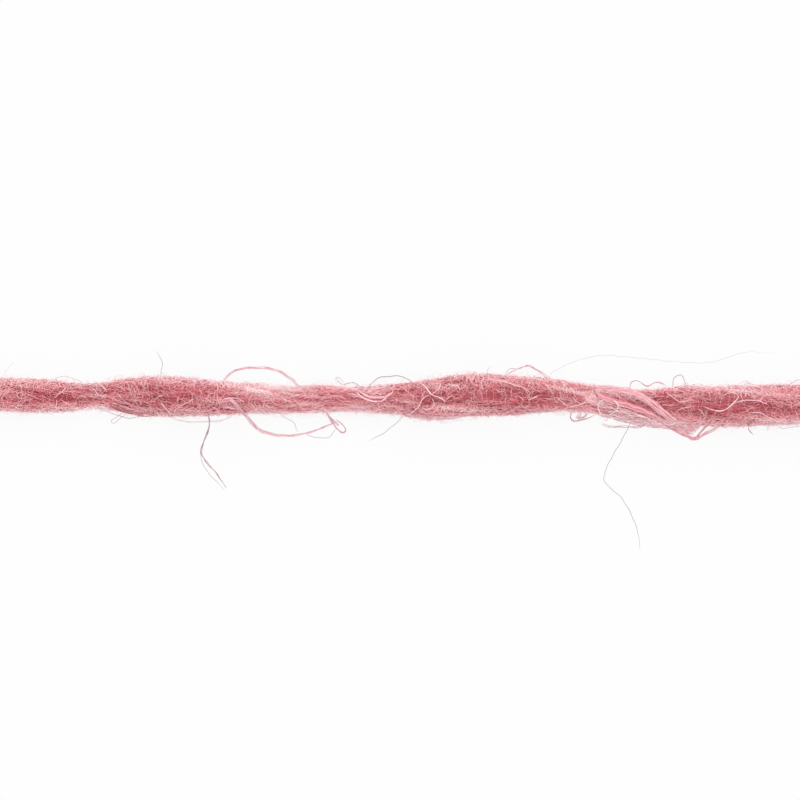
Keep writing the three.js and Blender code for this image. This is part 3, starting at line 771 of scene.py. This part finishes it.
# Loose fibres: single fibres and thin locks that have worked out of the strand. They are rooted in
# it, come down beside it and rest on the surface. Light passes through them, so they look greyer.
GREY_MAUVE = (0.35, 0.31, 0.32)
MAUVE_ROSE = (0.54, 0.30, 0.335)
LIGHT_ROSE = (0.66, 0.38, 0.42)
PALE_MAUVE = (0.82, 0.50, 0.55)
LOOSE_STOPS = ((0.0, GREY_MAUVE), (0.4, MAUVE_ROSE), (0.75, LIGHT_ROSE), (1.0, PALE_MAUVE))
SINGLE = dict(tint=(0.05, 0.25), thick=0.054, roots="first", painted_light_over=0.5)
LOCK = dict(tint=(0.4, 0.8), thick=0.08, roots="first", painted_light_over=0.3)
TAIL = LOCK | dict(tint=(0.55, 0.85), fibres=4, gather=1.2)
LOOSE_LOCKS = [
    # short upper fibre
    SINGLE | dict(
        route=[(-23.6, 1.2), (-24.0, 2.6), (-23.9, 3.5), (-24.5, 4.9)],
        tint=(0, 0.1), thick=0.055,
    ),
    SINGLE | dict(route=[(-23.4, 1.6), (-23.6, 2.4), (-24.0, 2.7)]),
    # fibres along the lower edge, with a small fork
    SINGLE | dict(
        route=[(-24.6, -0.9), (-22.0, -2.2), (-19.5, -2.3), (-17.7, -2.1), (-15.6, -0.9)],
        roots="both", fibres=3, width=0.2, gather=1, tint=(0.35, 0.65), thick=0.03,
    ),
    SINGLE | dict(route=[(-30.6, -0.9), (-29.0, -1.4), (-27.4, -1.9), (-25.6, -1.7)], roots="both"),
    SINGLE | dict(
        route=[
            (-27.4, -1.2), (-28.3, -1.7), (-29.0, -2.1), (-29.0, -2.4), (-28.7, -2.4), (-28.3, -2.1),
            (-27.4, -1.4),
        ],
        roots="both",
    ),
    # upper arch
    LOCK | dict(
        route=[(-17.9, 1.2), (-17.4, 2.3), (-16.4, 3), (-14.4, 3.2), (-12.6, 3), (-11, 2.1), (-9.6, 0.7)],
        fibres=7, width=0.28, roots="both", gather=1, tint=(0.65, 1.0), thick=0.065,
    ),
    # lower loop
    LOCK | dict(
        route=[
            (-18.2, 0.1), (-16.9, 0), (-15.6, -1.5), (-14.2, -3.1), (-11.8, -3.7), (-9.2, -3.4),
            (-6.8, -2.5),
        ],
        fibres=7, width=0.36, painted_light_over=0.12, thick=0.075, tint=(0.7, 1.0),
    ),
    # tail with a folded end, and the thin fibres beside it
    TAIL | dict(
        route=[
            (-7.9, -0.5), (-7.2, -1.7), (-6.7, -2.5), (-6.1, -3.2), (-5.7, -3.4), (-5.45, -3.15),
            (-5.8, -2.6), (-6.4, -2.1),
        ],
        width=0.13,
    ),
    TAIL | dict(route=[(-7.9, -0.5), (-7.2, -1.6), (-6.6, -2.3), (-6.2, -2.7)], width=0.16),
    SINGLE | dict(route=[(-9.4, -3.6), (-8.2, -3.9), (-7.1, -3.8), (-6.4, -2.9)]),
    SINGLE | dict(route=[(-12.5, -1.2), (-11.6, -1.8), (-10.7, -2.4), (-10.3, -3.3)]),
    # left hanging lock and fibre
    LOCK | dict(
        route=[(-19.1, -1.0), (-19.2, -2.8), (-20.0, -5.2), (-19.6, -6.2), (-18.6, -7.3), (-17.5, -8.9)],
        fibres=3, width=0.16, thick=0.07, tint=(0.2, 0.55),
    ),
    SINGLE | dict(
        route=[(-19.0, -0.6), (-19.3, -2.9), (-20.1, -5.4), (-19.6, -7.0), (-18.4, -8.4), (-17.6, -9.2)],
    ),
    # hook and small arch over the second slim place, and the straight fibre below it
    SINGLE | dict(route=[(-3.2, 0.6), (-4.6, 1.6), (-5.9, 1.5), (-6.4, 2.1)], fibres=2, width=0.1),
    SINGLE | dict(route=[(-5.4, 1.4), (-6.1, 1.6), (-6.5, 2.0), (-6.2, 2.2), (-5.6, 1.7)]),
    SINGLE | dict(
        route=[(-3.6, 0.6), (-2.4, 2.0), (-1.0, 2.3), (0.4, 2.2), (1.8, 1.2)],
        roots="both", thick=0.08,
    ),
    SINGLE | dict(route=[(1.6, -0.6), (0.2, -1.9), (-1.6, -3.4), (-3.1, -4.2)]),
    # short fibre and arches over the second bulge
    SINGLE | dict(route=[(8.7, 1.6), (8.7, 2.4), (8.8, 2.9), (9.1, 3.4)]),
    LOCK | dict(
        route=[(10.0, 2.0), (11.4, 2.8), (12.7, 3.3), (13.6, 3.0), (14.6, 2.2), (15.2, 1.3)],
        fibres=4, width=0.2, roots="both", thick=0.06,
    ),
    SINGLE | dict(
        route=[(10.4, 2.0), (10.9, 3.0), (11.8, 3.0), (12.9, 3.4), (13.9, 2.9), (15.3, 1.9)],
        roots="both",
    ),
    # long upper fibre
    SINGLE | dict(
        route=[
            (14.2, 1.3), (15.5, 2.8), (19.5, 4.3), (23.3, 4.2), (27.3, 3.8), (31.2, 3.7), (34.7, 4.7),
            (37.5, 4.6),
        ],
        thick=0.02,
    ),
    # loop and tangle left of the folded ribbon
    LOCK | dict(
        route=[(17.2, -0.9), (17.1, -1.8), (17.5, -2.2), (18.4, -2.1), (19.6, -1.6)],
        fibres=2, width=0.08, roots="both", thick=0.07,
    ),
    LOCK | dict(
        route=[(17.6, -1.0), (18.1, -1.4), (17.8, -1.9), (18.3, -1.9), (18.7, -1.5), (18.4, -1.1)],
        fibres=6, width=0.3, roots="both", thick=0.05, crimp=0.08, tint=(0.6, 1.0),
    ),
    # wisp under the folded ribbon
    LOCK | dict(
        route=[(25.8, -2.0), (24.6, -2.6), (23.4, -2.8), (22.3, -2.7), (21.4, -2.8), (20.3, -2.5)],
        fibres=5, width=0.25, thick=0.045, crimp=0.08, tint=(0.5, 0.85),
    ),
    # long hanging fibre
    SINGLE | dict(
        route=[
            (23.4, -1.0), (22.9, -3.0), (20.8, -6.9), (20.6, -8.3), (22.4, -10.1), (23.8, -12.9),
            (24.2, -15.2),
        ],
        tint=(0, 0.1), thick=0.06,
    ),
    # wave and loop over the folded ribbon
    SINGLE | dict(
        route=[
            (23.0, 1.1), (23.3, 1.7), (24.0, 1.8), (24.7, 1.3), (25.0, 1.3), (25.7, 1.7), (26.4, 1.5),
            (26.6, 1.2),
        ],
        fibres=2, width=0.08, roots="both", gather=1, tint=(0.3, 0.42), thick=0.075, painted_light_over=0,
    ),
    SINGLE | dict(route=[(27.2, 0.5), (27.5, 2.0), (28.4, 2.4), (28.6, 0.5)], roots="both", thick=0.075),
    # short fibres and a tuft near the ends
    SINGLE | dict(route=[(34.6, -1.4), (35.0, -3.0), (35.5, -3.6)], fibres=2, width=0.06),
    LOCK | dict(
        route=[(33.8, 0.9), (34.4, 1.4), (34.9, 1.8), (35.4, 1.4), (36.0, 0.9)],
        fibres=8, width=0.7, thick=0.03, roots="both", crimp=0.1, tint=(0.7, 1.0),
    ),
    SINGLE | dict(route=[(38.3, 0.9), (39.2, 1.6), (40.2, 1.9), (41.0, 1.6), (41.6, 0.9)], roots="both"),
    SINGLE | dict(route=[(38.9, 1.2), (39.6, 1.4), (40.6, 1.4), (41.4, 1.2)], thick=0.1, painted_light_over=0),
    SINGLE | dict(
        route=[(-35.4, 1.5), (-34.7, 2.0), (-34.0, 2.25), (-33.2, 2.2), (-32.0, 1.7), (-31.2, 1.2)],
        roots="both", tint=(0.5, 0.7), thick=0.06,
    ),
    SINGLE | dict(route=[(-39.9, 1.6), (-39.6, 2.9), (-38.9, 3.7)], thick=0.02),
    SINGLE | dict(route=[(36.6, -2.0), (36.9, -2.9), (37.0, -3.2)]),
    SINGLE | dict(route=[(37.0, -2.1), (38.3, -2.9), (40.0, -2.7), (41.0, -2.4)], roots="both"),
]
loose_wool = wool_material("loose_fibre", LOOSE_STOPS)
fibre_piece("loose_locks", [lock_routes(**lock) for lock in LOOSE_LOCKS], loose_wool)

# Floor and light: a plain near-white ground that is lit until it loses its shadows, in bright even
# light with a little more of it from the far side.
GROUND_SIDE = 1200 * MM
GROUND_GLOW = 0.91
GROUND_GREY = (0.05, 0.05, 0.05, 1)
WHITE = (1, 1, 1, 1)
SKY_STRENGTH = 1.36
FAR_LIGHT_STRENGTH = 1.35
FAR_LIGHT_WIDTH = math.radians(60)
FAR_LIGHT_TILT = math.radians(-50)


def ground_material():
    """Plain ground that glows a little by itself, so that it stays almost white under the strand."""
    material = bpy.data.materials.new("ground")
    material.use_nodes = True
    shader = material.node_tree.nodes["Principled BSDF"]
    shader.inputs["Base Color"].default_value = GROUND_GREY
    shader.inputs["Roughness"].default_value = 1
    shader.inputs["Specular IOR Level"].default_value = 0
    shader.inputs["Emission Color"].default_value = WHITE
    shader.inputs["Emission Strength"].default_value = GROUND_GLOW
    return material


def ground_piece():
    """A flat square, far wider than the view."""
    shape = bmesh.new()
    bmesh.ops.create_grid(shape, x_segments=1, y_segments=1, size=GROUND_SIDE / 2)
    mesh = bpy.data.meshes.new("ground")
    shape.to_mesh(mesh)
    shape.free()
    return new_object("ground", mesh)


ground = ground_piece()
ground.data.materials.append(ground_material())

far_light = new_object("far_light", bpy.data.lights.new("far_light", "SUN"))
far_light.data.energy = FAR_LIGHT_STRENGTH
far_light.data.angle = FAR_LIGHT_WIDTH
far_light.rotation_euler = (FAR_LIGHT_TILT, 0, 0)

world = bpy.data.worlds.new("even_light")
world.use_nodes = True
sky = world.node_tree.nodes["Background"]
sky.inputs["Color"].default_value = WHITE
sky.inputs["Strength"].default_value = SKY_STRENGTH
bpy.context.scene.world = world
bpy.context.scene.view_settings.view_transform = "Standard"
